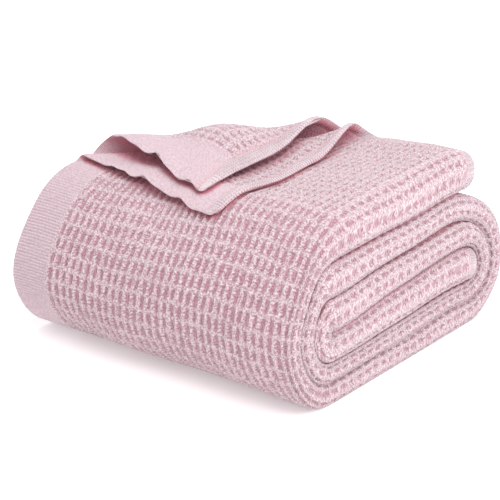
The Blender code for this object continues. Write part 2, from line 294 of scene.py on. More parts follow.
@dataclass
class WoundPath:
    """The middle line of the wound band, measured along its length from the core outwards."""

    # From the core outwards.
    stretches: tuple[Stretch, ...] = (
        Stretch((0.080, 0.0650, 0.0300), (0.350, 0.0720, 0.0400)),
        Stretch((0.080, 0.1015, 0.0360), (0.320, 0.1120, 0.0280)),
        Stretch((0.076, 0.0378, 0.0190), (0.330, 0.0385, 0.0190)),
        Stretch((0.078, 0.1400, 0.0345), (0.292, 0.1465, 0.0260)),
        Stretch((0.080, 0.0135, 0.0270), (0.345, 0.0135, 0.0270)),
        Stretch((0.106, 0.1830, 0.0410), (0.341, 0.1845, 0.0430)),
    )
    # Where each turn between them reaches farthest, as (y, z, thickness).
    apexes: tuple[tuple[float, float, float], ...] = (
        (0.0610, 0.0830, 0.0280),
        (0.3695, 0.0720, 0.0210),
        (0.0330, 0.0870, 0.0200),
        (0.3960, 0.0740, 0.0245),
        (0.0105, 0.0880, 0.0210),
    )
    step: float = 0.001  # spacing of the points that the path is measured with
    thin_angle: float = math.radians(50.0)  # angle of a turn over which the band is drawn thin
    end_rounding: float = 0.026  # length over which the band's two ends grow thinner
    end_thickness: float = 0.52  # share of the thickness left at the very ends

    def __post_init__(self) -> None:
        """Measure the path and its outward normals."""
        pieces = []
        starts = []
        for index, stretch in enumerate(self.stretches):
            start, end = stretch.front, stretch.rear
            if index % 2 == 0:
                start, end = end, start
            if index > 0:
                pieces.append(self.quarter(start, self.apexes[index - 1])[::-1])
            starts.append(len(pieces))
            pieces.append(self.straight(start, end))
            if index < len(self.apexes):
                pieces.append(self.quarter(end, self.apexes[index]))
        points = np.concatenate([piece[:-1] for piece in pieces] + [pieces[-1][-1:]])
        gaps = np.hypot(np.diff(points[:, 0]), np.diff(points[:, 1]))
        self.distance = np.concatenate([[0.0], np.cumsum(gaps)])
        self.length = float(self.distance[-1])
        self.y, self.z, thick = points.T
        self.thick = thick * self.end_share()
        along_y = np.gradient(self.y, self.distance)
        along_z = np.gradient(self.z, self.distance)
        size = np.hypot(along_y, along_z)
        self.normal_y = -along_z / size
        self.normal_z = along_y / size
        first = np.concatenate([[0], np.cumsum([len(piece) - 1 for piece in pieces])])
        self.stretch_starts = [float(self.distance[first[number]]) for number in starts]

    def straight(self, start: tuple[float, ...], end: tuple[float, ...]) -> Array:
        """Points of a flat stretch as (y, z, thickness), from one end to the other."""
        count = max(2, int(abs(end[0] - start[0]) / self.step))
        part = np.linspace(0.0, 1.0, count)
        y = start[0] + (end[0] - start[0]) * part
        z = start[1] + (end[1] - start[1]) * smooth(part)
        thick = start[2] + (end[2] - start[2]) * smooth(part)
        return np.stack([y, z, thick], axis=1)

    def quarter(self, flat_end: tuple[float, ...], apex: tuple[float, ...]) -> Array:
        """Points of a quarter ellipse as (y, z, thickness), from a stretch to a turn's apex."""
        reach = abs(apex[0] - flat_end[0]) + abs(apex[1] - flat_end[1])
        angle = np.linspace(0.0, math.pi / 2.0, int(reach / self.step))
        y = flat_end[0] + (apex[0] - flat_end[0]) * np.sin(angle)
        z = apex[1] + (flat_end[1] - apex[1]) * np.cos(angle)
        thick = flat_end[2] + (apex[2] - flat_end[2]) * smooth(angle / self.thin_angle)
        return np.stack([y, z, thick], axis=1)

    def end_share(self) -> Array:
        """Share of the thickness along the band, which grows thinner at both of its ends."""
        from_end = np.minimum(self.distance, self.length - self.distance)
        missing = 1.0 - np.clip(from_end / self.end_rounding, 0.0, 1.0)
        return self.end_thickness + (1.0 - self.end_thickness) * np.sqrt(1.0 - missing**2)

    def at(self, distance: Array) -> list[Array]:
        """Middle point, outward normal and thickness at distances along the band."""
        columns = (self.y, self.z, self.normal_y, self.normal_z, self.thick)
        return [np.interp(distance, self.distance, column) for column in columns]


@dataclass
class FoldedCloth:
    """Where each place of the flat cloth lies in the folded and wound blanket."""

    path: WoundPath = field(default_factory=WoundPath)
    cloth: float = 0.0026  # thickness of the cloth
    roll_length: float = 0.380
    roll_depth: float = 0.408
    hem_inset: float = 0.010  # how far the folds at the left end stop short of the hems
    outer_ply: float = 2.5  # pitches from the middle of the band to its outermost ply
    fold_pitch: float = 0.0062  # usual distance between plies, for the flat width of the folds
    band: float = 0.038  # usual thickness of the band, for the flat width of the plies
    floor_gap: float = 0.0002  # height over the floor of the lowest cloth
    # From the first hem to the second.
    folds: tuple[Fold, ...] = (
        Fold(1, 2.5, -2.5, 1),
        Fold(-1, -2.5, 0.5, 1),
        Fold(1, 0.5, -0.5, 1),
        Fold(-1, -0.5, -1.5, -1),
        Fold(1, -1.5, 1.5, -1),
    )
    corner_distance: float = 0.1896  # from the corner's tip to its fold line
    corner_across: float = 0.591  # share of the fold line's normal that points across the cloth
    outer_flap: Flap = Flap(
        (
            Ridge(0.000, 0.0090, 0.000),
            Ridge(0.150, 0.0095, 0.000),
            Ridge(0.205, 0.0110, 0.000),
            Ridge(0.260, 0.0150, 0.007),
            Ridge(0.330, 0.0240, 0.032),
            Ridge(0.410, 0.0220, 0.040),
        ),
        stretch=1.05,
        slide=0.15,
        fall=0.095,
    )
    second_flap: Flap = Flap(
        (
            Ridge(0.000, 0.0380, 0.006),
            Ridge(0.100, 0.0400, 0.001),
            Ridge(0.165, 0.0540, 0.001),
            Ridge(0.225, 0.0400, 0.012),
            Ridge(0.325, 0.0540, 0.036),
            Ridge(0.370, 0.0480, 0.045),
            Ridge(0.410, 0.0440, 0.045),
        ),
        stretch=1.34,
        slide=0.13,
        fall=0.140,
    )
    flap_gap: float = 0.0062  # height of the turned corner over what it lies on
    loose_reach: float = 0.03  # distance beyond the fold line over which the hem grows loose
    corner_rounding: tuple[float, float] = (0.015, 0.011)  # of the first and second hem
    wave_length: float = 0.052  # spacing of the waves along the turned hems
    wave_reach: float = 0.014  # how far the waves reach in from the hems
    wave_in: float = 0.0013  # how far they draw the hem in
    wave_up: float = 0.0050  # how far they raise it
    wave_start: tuple[float, float] = (1.2, 3.9)  # phase of the first and second hem's waves
    hem_lift: float = 0.008  # height of a soft swelling of the turned corner
    hem_lift_along: float = 0.085  # its place along the fold line
    hem_lift_back: float = 0.090  # its distance from the bend
    hem_lift_reach: float = 0.045
    sag_left: float = 0.11  # share of its height that the roll loses at its left end
    sag_rear: float = 0.09  # what it loses more at the rear of that end
    sag_x: tuple[float, float] = (0.06, 0.33)  # along the roll, where the sag is full and ends
    sag_y: tuple[float, float] = (0.15, 0.35)  # from front to rear, where the rear sag sets in
    front_start: float = 0.235  # where the front turn sets in, along the bottom stretch
    front_fade: float = 0.06  # distance over which its pull sets in
    front_end: float = 0.04  # how far before the top stretch the pull begins to fade
    front_end_fade: float = 0.07
    front_pull: float = 0.13  # how far the cloth is stretched over the front turn
    slack: float = 0.76  # size of the pits where the cloth lies slack
    open_rate: float = 1.2  # how soon the pits stand wide open as the pull sets in
    row_slope: float = 0.03  # how far the rows of the weave run out along the cloth
    swell_x: tuple[float, float] = (0.280, 0.350)
    swell: float = 0.17  # how much thicker the band is at its closed fold
    fold_power: float = 0.76  # below 1, the closed fold is squarer than a half circle
    crease_reach: float = 0.45  # how far round the closed fold its creases reach
    outer_start: float = 0.16  # how far before the bottom stretch the outermost wrap begins
    dent_height: float = 0.0016  # how far the soft dents push the cloth in and out
    dent_floor: float = 0.030  # height above the floor over which the dents set in

    def __post_init__(self) -> None:
        """Work out the flat widths of the plies and folds."""
        self.corner_along = math.sqrt(1.0 - self.corner_across**2)
        self.run = self.right_centre(self.band)
        ply_run = self.run - self.left_centre(self.band)
        sizes = [self.run]
        for index, fold in enumerate(self.folds):
            sizes.append(math.pi * abs(fold.start - fold.end) / 2.0 * self.fold_pitch)
            sizes.append(ply_run if index < len(self.folds) - 1 else self.run)
        self.edges = np.concatenate([[0.0], np.cumsum(sizes)])
        self.width = float(self.edges[-1])
        self.length = self.path.length
        bottom, top = self.path.stretch_starts[4:6]
        turn = smooth((self.path.distance - bottom - self.front_start) / self.front_fade)
        fading = (self.path.distance - top + self.front_end) / self.front_end_fade
        turn = turn * (1.0 - smooth(fading))
        steps = np.diff(self.path.distance, prepend=0.0) / (1.0 + self.front_pull * turn)
        self.relaxed_along = np.cumsum(steps)

    def relaxed(self, across: Array, distance: Array) -> Array:
        """Distance along the cloth before it was pulled out of shape, in step with its rows."""
        return np.interp(distance, self.path.distance, self.relaxed_along) + across * self.row_slope

    def opened(self, distance: Array) -> Array:
        """How far the pits of the weave stand open: 1 where it is pulled over the front turn."""
        local = np.gradient(self.relaxed_along, self.path.distance)
        pulled = (1.0 - np.interp(distance, self.path.distance, local)) / self.front_pull
        return self.slack + (1.0 - self.slack) * smooth(pulled * self.open_rate)

    def crease(self, across: Array, distance: Array) -> Array:
        """Share of crease at the closed fold: 1 where one turn of the band meets the next."""
        angle = math.pi * (across - self.edges[1]) / (self.edges[2] - self.edges[1])
        angle = np.clip(angle, 0.0, math.pi)
        crease = 1.0 - smooth(np.sin(angle) / self.crease_reach)
        outer = self.path.stretch_starts[4] - self.outer_start
        outermost = (angle < math.pi / 2.0) & (distance > outer)
        return crease * (across > self.edges[1]) * (across < self.edges[2]) * ~outermost

    def pitch_of(self, thick: Array) -> Array:
        """Distance from ply to ply in a band of that thickness over all."""
        return (thick - self.cloth) / (2.0 * self.outer_ply)

    def right_centre(self, thick: Array) -> Array:
        """X of the middle of the folds at the right end, for a band of that thickness."""
        return self.roll_length - thick / 2.0

    def left_centre(self, thick: Array) -> Array:
        """X of the middle of the folds at the left end, for a band of that thickness."""
        return self.hem_inset + 1.5 * self.pitch_of(thick) + self.cloth / 2.0

    def on_band(self, x: Array, height: Array, distance: Array) -> Array:
        """Points of the roll at a height above the band's middle line, as (x, y, z)."""
        mid_y, mid_z, normal_y, normal_z, _ = self.path.at(distance)
        span = self.swell_x[1] - self.swell_x[0]
        height = height * (1.0 + self.swell * smooth((x - self.swell_x[0]) / span))
        y = mid_y + normal_y * height
        z = np.maximum(mid_z + normal_z * height, self.floor_gap)
        left = 1.0 - smooth((x - self.sag_x[0]) / (self.sag_x[1] - self.sag_x[0]))
        rear = smooth((y - self.sag_y[0]) / (self.sag_y[1] - self.sag_y[0]))
        z = z * (1.0 - left * (self.sag_left + self.sag_rear * rear))
        return np.stack([x - self.roll_length / 2.0, y - self.roll_depth / 2.0, z], axis=1)

    def beyond_line(self, hem: Array, end: Array) -> Array:
        """How far a place lies beyond the fold line of the turned corner, towards the corner."""
        return self.corner_distance - hem * self.corner_across - end * self.corner_along

    def turn_corner(
        self, hem: Array, end: Array, side: Array, flap: Flap, outer: bool
    ) -> tuple[Array, Array, Array]:
        """Bend the corner of an outer ply back over its fold line.

        Args:
            hem: Distances from the hem.
            end: Distances from the cloth's end.
            side: Heights above the flat ply, in place of which the new heights come.
            flap: Shape of the turned corner.
            outer: Whether this is the outermost ply.

        Returns:
            Where the points lie over the flat ply, as hem and end distances and heights.
        """
        across, run = self.corner_across, self.corner_along
        radius = self.corner_rounding[0 if outer else 1]
        from_hem, from_end = (np.clip(1.0 - part / radius, 0.0, 1.0) for part in (hem, end))
        hem = hem + radius * from_hem * (1.0 - np.sqrt(1.0 - from_end**2 / 2.0))
        end = end + radius * from_end * (1.0 - np.sqrt(1.0 - from_hem**2 / 2.0))
        loose = smooth((self.beyond_line(hem, end) - self.loose_reach) / self.loose_reach)
        phase = 2.0 * math.pi * end / self.wave_length + self.wave_start[0 if outer else 1]
        # Two waves that don't keep in step make the hem as uneven as a real one.
        ripple = 0.6 * np.sin(phase) + 0.4 * np.sin(phase * 1.73 + 1.0)
        wave = np.exp(-hem / self.wave_reach) * loose
        drawn = hem + wave * self.wave_in * (1.0 + ripple)
        raised = wave * self.wave_up * (0.5 + 0.5 * ripple) ** 2
        hem = drawn
        beyond = self.beyond_line(hem, end)
        foot_hem = hem + beyond * across
        foot_end = end + beyond * run
        along = foot_hem * run + (self.corner_distance / run - foot_end) * across
        height, bow = flap.ridge_at(along)
        radius = height / 2.0
        past = beyond - bow
        angle = np.clip(past / radius, 0.0, math.pi)
        back = np.maximum(past - math.pi * radius, 0.0) * flap.stretch
        shift = back - bow - (radius - side) * np.sin(angle)
        slide = back * flap.slide
        pitch = self.pitch_of(self.path.at(self.length - foot_end)[4])
        rest = self.flap_gap if outer else pitch + 2.0 * self.flap_gap
        lying = height + (rest - height) * smooth(back / flap.fall) - side
        away = np.hypot(along - self.hem_lift_along, back - bow - self.hem_lift_back)
        lying = lying + self.hem_lift * np.exp(-((away / self.hem_lift_reach) ** 2)) + raised
        bending = radius - (radius - side) * np.cos(angle)
        turned = past > 0.0
        new_hem = np.where(turned, foot_hem + shift * across + slide * run, hem)
        new_end = np.where(turned, foot_end + shift * run - slide * across, end)
        new_height = np.where(back > 0.0, lying, bending)
        return new_hem, new_end, np.where(turned, new_height, side)

    def place_ply(self, across: Array, distance: Array, side: Array, index: int) -> Array:
        """Points on one of the six plies; index counts the plies from the first hem."""
        start, end = self.edges[2 * index], self.edges[2 * index + 1]
        level = self.folds[0].start if index == 0 else self.folds[index - 1].end
        face = side if index % 2 == 0 else -side
        if index in (0, 5):
            hem = across if index == 0 else self.width - across
            flap = self.outer_flap if index == 0 else self.second_flap
            hem, cloth_end, face = self.turn_corner(
                hem, self.length - distance, face, flap, index == 0
            )
            distance = self.length - cloth_end
            thick = self.path.at(distance)[4]
            x = hem * self.right_centre(thick) / self.run
        else:
            thick = self.path.at(distance)[4]
            part = (across - start) / (end - start)
            right, left = self.right_centre(thick), self.left_centre(thick)
            x = right + (left - right) * (part if index % 2 == 1 else 1.0 - part)
        return self.on_band(x, level * self.pitch_of(thick) + face, distance)

    def place_fold(self, across: Array, distance: Array, side: Array, index: int) -> Array:
        """Points on one of the five folds across the band."""
        fold = self.folds[index]
        start, end = self.edges[2 * index + 1], self.edges[2 * index + 2]
        angle = math.pi * (across - start) / (end - start)
        thick = self.path.at(distance)[4]
        pitch = self.pitch_of(thick)
        reach = (fold.start - fold.end) / 2.0
        rise = math.copysign(1.0, reach)
        centre = self.right_centre(thick) if fold.side > 0 else self.left_centre(thick)
        radius = abs(reach) * pitch + fold.face_out * side
        power = self.fold_power if index == 0 else 1.0
        out, up = np.abs(np.sin(angle)) ** power, np.cos(angle)
        x = centre + fold.side * radius * out
        level = (fold.start + fold.end) / 2.0 * pitch
        height = level + rise * radius * np.sign(up) * np.abs(up) ** power
        return self.on_band(x, height, distance)

    def dents(self, points: Array) -> Array:
        """Soft unevenness of the whole roll, as a shift of each point."""
        x, y, z = points.T
        strength = self.dent_height * smooth(z / self.dent_floor)
        # Wave counts for each metre, and phases, that never fall into step.
        shift_y = np.sin(31.0 * x + 23.0 * z + 1.1) * np.cos(47.0 * z - 17.0 * x + 0.4)
        shift_z = np.sin(37.0 * x - 21.0 * y + 2.3) + 0.7 * np.sin(19.0 * x + 43.0 * y)
        shift_x = np.sin(44.0 * z + 27.0 * y + 0.7)
        return np.stack([shift_x * 0.6, shift_y, shift_z * 0.8], axis=1) * strength[:, None]

    def place(self, across: Array, distance: Array, side: Array) -> Array:
        """Find where places of the flat cloth lie in the roll.

        Args:
            across: Distances from the first hem.
            distance: Distances from the end at the core.
            side: Heights above the cloth's middle, positive on its face.

        Returns:
            One point (x, y, z) for each place.
        """
        points = np.zeros((len(across), 3))
        segment = np.searchsorted(self.edges, across, side="right") - 1
        segment = np.clip(segment, 0, len(self.edges) - 2)
        for number in range(len(self.edges) - 1):
            here = segment == number
            put = self.place_ply if number % 2 == 0 else self.place_fold
            points[here] = put(across[here], distance[here], side[here], number // 2)
        return points + self.dents(points)


@dataclass(frozen=True)
class ClothEdges:
    """The plain parts of the cloth: its borders along the hems and the hems at its two ends."""

    border: float = 0.043  # width of the plain border along both hems
    border_fade: float = 0.011  # distance over which the waffle weave sets in beside it
    end_hem: float = 0.0130  # width of the hem at both ends
    end_fade: float = 0.003
    end_swell: float = 0.0012  # how much thicker half the hem is than half the cloth
    loose_swell: float = 0.0011  # how much thicker still it is on the turned corner
    rounding: float = 0.0015  # distance over which the cloth's rim rounds off

    def from_hem(self, cloth: FoldedCloth, across: Array) -> Array:
        """Distance from the nearer hem."""
        return np.minimum(across, cloth.width - across)

    def from_end(self, cloth: FoldedCloth, distance: Array) -> Array:
        """Distance from the nearer end."""
        return np.minimum(distance, cloth.length - distance)

    def waffle(self, cloth: FoldedCloth, across: Array, distance: Array) -> Array:
        """Share of waffle weave: 1 in the field, 0 on the borders and end hems."""
        hem = smooth((self.from_hem(cloth, across) - self.border) / self.border_fade)
        end = smooth((self.from_end(cloth, distance) - self.end_hem) / self.end_fade)
        return hem * end

    def end_band(self, cloth: FoldedCloth, distance: Array) -> Array:
        """Share of end hem: 1 inside the hems at the two ends, 0 elsewhere."""
        return 1.0 - smooth((self.from_end(cloth, distance) - self.end_hem) / self.end_fade)

    def half_thickness(self, cloth: FoldedCloth, across: Array, distance: Array) -> Array:
        """Half of the cloth's thickness, with swollen end hems and a rounded rim."""
        from_end = self.from_end(cloth, distance)
        hem = self.from_hem(cloth, across)
        loose = smooth(cloth.beyond_line(hem, cloth.length - distance) / cloth.loose_reach)
        swell = np.sin(math.pi * np.clip(from_end / self.end_hem, 0.0, 1.0))
        swell *= self.end_swell + self.loose_swell * loose
        rim = np.minimum(from_end, hem)
        missing = 1.0 - np.clip(rim / self.rounding, 0.0, 1.0)
        return (cloth.cloth / 2.0 + swell) * np.sqrt(1.0 - missing**2)


@dataclass
class WaffleRelief:
    """A Geometry Nodes tree that raises the waffle weave and the plain ribs out of a smooth layer.

    It reads four attributes of the layer: relaxed, its places on the cloth before it was pulled
    out of shape, outward, the direction out of the cloth, waffle, the share of waffle weave, and
    opened, how far the pits stand open. Each size of this class is an input of the tree.
    """

    column_pitch: float = 0.0098  # spacing of the pits across the cloth
    row_pitch: float = 0.0146  # spacing of the pits along the cloth
    pit_width: float = 0.0060
    pit_length: float = 0.0132
    pit_roundness: float = 3.0  # 2 makes a pit oval, more makes it squarer
    pit_floor: float = 0.2  # how far out, as a rounded measure, a pit's flat bottom reaches
    pit_edge: float = 1.6  # how far out its soft sides reach
    pit_least: float = 0.85  # share of its size that the smallest pit has
    pit_more: float = 0.3  # share by which the sizes of pits differ
    rise: float = 0.0008  # how far the ribs stand out of the plain cloth
    depth: float = 0.0024  # from the ribs down to the bottom of a pit
    jitter: float = 0.0010  # how far a pit lies off its true place
    lean: float = 0.25  # how far a pit leans to either side
    drift: float = 0.0030  # how far the weave wanders from a true grid
    drift_size: float = 9.0  # wanders for each metre
    lump: float = 0.0005  # unevenness of the yarns
    lump_size: float = 480.0  # lumps for each metre
    plain_lump: float = 0.4  # share of that unevenness on the plain borders
    rib_pitch: float = 0.0030  # spacing of the fine ribs on the plain borders
    rib_height: float = 0.00085
    floor_gap: float = 0.0001  # the relief is pressed flat at this height over the floor
    seed: float = 4.0

    def inputs(self) -> dict[str, float]:
        """The sizes of this class, by the names of the tree's inputs."""
        return {name.replace("_", " ").title(): size for name, size in vars(self).items()}

    def tree(self) -> bpy.types.NodeTree:
        """Build the node tree.

        Returns:
            The tree, with a Geometry, a Material and one named input for each size.
        """
        tree = node_group("waffle relief", dict.fromkeys(self.inputs(), "NodeSocketFloat"))
        size = add_node(tree, "NodeGroupInput").outputs
        calc = partial(work_out, tree)
        kinds = {
            "relaxed": "FLOAT_VECTOR",
            "outward": "FLOAT_VECTOR",
            "waffle": "FLOAT",
            "opened": "FLOAT",
        }
        own = {
            name: add_node(
                tree, "GeometryNodeInputNamedAttribute", values={0: name}, data_type=kind
            ).outputs[0]
            for name, kind in kinds.items()
        }

        def noise(scale: str, detail: float) -> bpy.types.bpy_prop_collection:
            """Outputs of a noise over the cloth, at the scale that an input gives."""
            links = {"Vector": own["relaxed"], "W": size["Seed"], "Scale": size[scale]}
            return add_node(
                tree, "ShaderNodeTexNoise", links, {"Detail": detail}, noise_dimensions="4D"
            ).outputs

        def scaled(direction: object, amount: object) -> bpy.types.NodeSocket:
            """A vector times a number."""
            links = {0: direction, "Scale": amount}
            return add_node(tree, "ShaderNodeVectorMath", links, operation="SCALE").outputs[0]

        vector = partial(work_out, tree, kind="ShaderNodeVectorMath")
        wander = vector("SUBTRACT", noise("Drift Size", 1.0)["Color"], (0.5, 0.5, 0.5))
        wander = scaled(wander, calc("MULTIPLY", size["Drift"], 2.0))
        moved = vector("ADD", own["relaxed"], wander)
        place = add_node(tree, "ShaderNodeSeparateXYZ", {0: moved}).outputs
        columns = calc("DIVIDE", place["X"], size["Column Pitch"])
        rows = calc("DIVIDE", place["Y"], size["Row Pitch"])
        cell = add_node(
            tree,
            "ShaderNodeCombineXYZ",
            {0: calc("FLOOR", columns), 1: calc("FLOOR", rows), 2: size["Seed"]},
        ).outputs[0]
        chance = add_node(tree, "ShaderNodeTexWhiteNoise", {"Vector": cell}).outputs
        chances = add_node(tree, "ShaderNodeSeparateXYZ", {0: chance["Color"]}).outputs

        def off_middle(count: object, pitch: object, luck: object) -> bpy.types.NodeSocket:
            """Distance from the middle of the pit in the cell that a place lies in."""
            part = calc("SUBTRACT", calc("FRACT", count), 0.5)
            shift = calc("MULTIPLY", calc("SUBTRACT", luck, 0.5), size["Jitter"])
            return calc("MULTIPLY_ADD", part, pitch, shift)

        off_row = off_middle(rows, size["Row Pitch"], chances["X"])
        tilt = calc("MULTIPLY", calc("SUBTRACT", chances["Y"], 0.5), size["Lean"])
        off_column = off_middle(columns, size["Column Pitch"], chances["Z"])
        off_column = calc("MULTIPLY_ADD", off_row, tilt, off_column)
        spread = calc("MULTIPLY_ADD", chance["Value"], size["Pit More"], size["Pit Least"])
        spread = calc("MULTIPLY", spread, own["opened"])

        def share(distance: object, width: object) -> bpy.types.NodeSocket:
            """How far out in a pit of that width a place lies, as a rounded measure."""
            half = calc("MULTIPLY", calc("MULTIPLY", width, 0.5), spread)
            ratio = calc("DIVIDE", calc("ABSOLUTE", distance), half)
            return calc("POWER", ratio, size["Pit Roundness"])

        out = calc("ADD", share(off_column, size["Pit Width"]), share(off_row, size["Pit Length"]))
        pit = add_node(
            tree,
            "ShaderNodeMapRange",
            {"Value": out, "From Min": size["Pit Floor"], "From Max": size["Pit Edge"]},
            {"To Min": 1.0, "To Max": 0.0},
            interpolation_type="SMOOTHSTEP",
        ).outputs["Result"]
        # The noise keeps within about a quarter of its middle, so it is made four times as strong.
        lumps = calc("SUBTRACT", noise("Lump Size", 2.0)["Fac"], 0.5)
        lump = calc("MULTIPLY", calc("MULTIPLY", lumps, size["Lump"]), 4.0)
        sunk = calc("MULTIPLY_ADD", calc("MULTIPLY", pit, -1.0), size["Depth"], size["Rise"])
        field_height = calc("ADD", sunk, lump)
        turns = calc("MULTIPLY", place["Y"], 2.0 * math.pi)
        ribs = calc("SINE", calc("DIVIDE", turns, size["Rib Pitch"]))
        plain_height = calc("MULTIPLY", ribs, size["Rib Height"])
        plain_height = calc("MULTIPLY_ADD", lump, size["Plain Lump"], plain_height)
        height = add_node(
            tree,
            "ShaderNodeMix",
            {0: own["waffle"], 2: plain_height, 3: field_height},
            data_type="FLOAT",
        ).outputs[0]
        raised = add_node(
            tree,
            "GeometryNodeSetPosition",
            {"Geometry": size["Geometry"], "Offset": scaled(own["outward"], height)},
        ).outputs[0]
        position = add_node(tree, "GeometryNodeInputPosition").outputs[0]
        spot = add_node(tree, "ShaderNodeSeparateXYZ", {0: position}).outputs
        above_floor = add_node(
            tree,
            "ShaderNodeCombineXYZ",
            {0: spot["X"], 1: spot["Y"], 2: calc("MAXIMUM", spot["Z"], size["Floor Gap"])},
        ).outputs[0]
        raised = add_node(
            tree, "GeometryNodeSetPosition", {"Geometry": raised, "Position": above_floor}
        ).outputs[0]
        stored = add_node(
            tree,
            "GeometryNodeStoreNamedAttribute",
            {"Geometry": raised, "Value": calc("MULTIPLY", pit, own["waffle"])},
            {"Name": "pit"},
            data_type="FLOAT",
            domain="POINT",
        ).outputs[0]
        finish_group(tree, stored, size["Material"])
        return tree


@dataclass
class Shelter:
    """Finds how far folds shelter a place from the light, for the material's painted rose shade."""

    folds: bpy.types.Object
    reach: float = 0.070  # cloth farther away than this shelters nothing
    rays: int = 24
    start: float = 0.0028  # height above the cloth that the rays start from
    step_x: float = 0.0045  # spacing across the cloth of the grid that it is found on
    step_y: float = 0.0070  # and along the cloth
    crease_share: float = 0.62  # shelter given to the narrow creases of the closed fold, for their painted shade
    plain_share: float = 0.8  # smooth plain cloth looks less deeply sheltered than the weave

    def __post_init__(self) -> None:
        """Ready the folded cloth for rays, and spread them over a half sphere."""
        mesh = self.folds.data
        points = [vertex.co for vertex in mesh.vertices]
        faces = [tuple(face.vertices) for face in mesh.polygons]
        self.tree = BVHTree.FromPolygons(points, faces)
        count = np.arange(self.rays) + 0.5
        radius = np.sqrt(count / self.rays)
        turn = count * math.pi * (3.0 - math.sqrt(5.0))
        up = np.sqrt(1.0 - radius**2)
        self.spread = np.stack([radius * np.cos(turn), radius * np.sin(turn), up], axis=1)

    def of(self, points: Array, outward: Array) -> Array:
        """Share of the rays from each place that meet cloth nearby.

        Args:
            points: The places.
            outward: Directions out of the cloth there, of any length.

        Returns:
            Shares from 0 in the open to 1 between two plies.
        """
        outward = outward / np.maximum(np.linalg.norm(outward, axis=1), 1e-9)[:, None]
        helper = np.where(np.abs(outward[:, 2:]) < 0.9, [[0.0, 0.0, 1.0]], [[1.0, 0.0, 0.0]])
        first = np.cross(outward, helper)
        first /= np.linalg.norm(first, axis=1)[:, None]
        second = np.cross(outward, first)
        points = points + outward * self.start
        shares = np.zeros(len(points))
        cast, reach, part = self.tree.ray_cast, self.reach, 1.0 / self.rays
        frames = np.stack([first, second, outward], axis=1)
        directions = np.einsum("ri,pij->prj", self.spread, frames)
        for number, (point, rays) in enumerate(zip(points.tolist(), directions.tolist())):
            hits = sum(1 for ray in rays if cast(point, ray, reach)[0] is not None)
            shares[number] = hits * part
        return shares

    def dress_folds(self) -> None:
        """Store the shelter of the folded cloth's own points on it."""
        shares = self.of(*points_and_normals(self.folds.data)) * self.plain_share
        store(self.folds, {"shelter": shares})


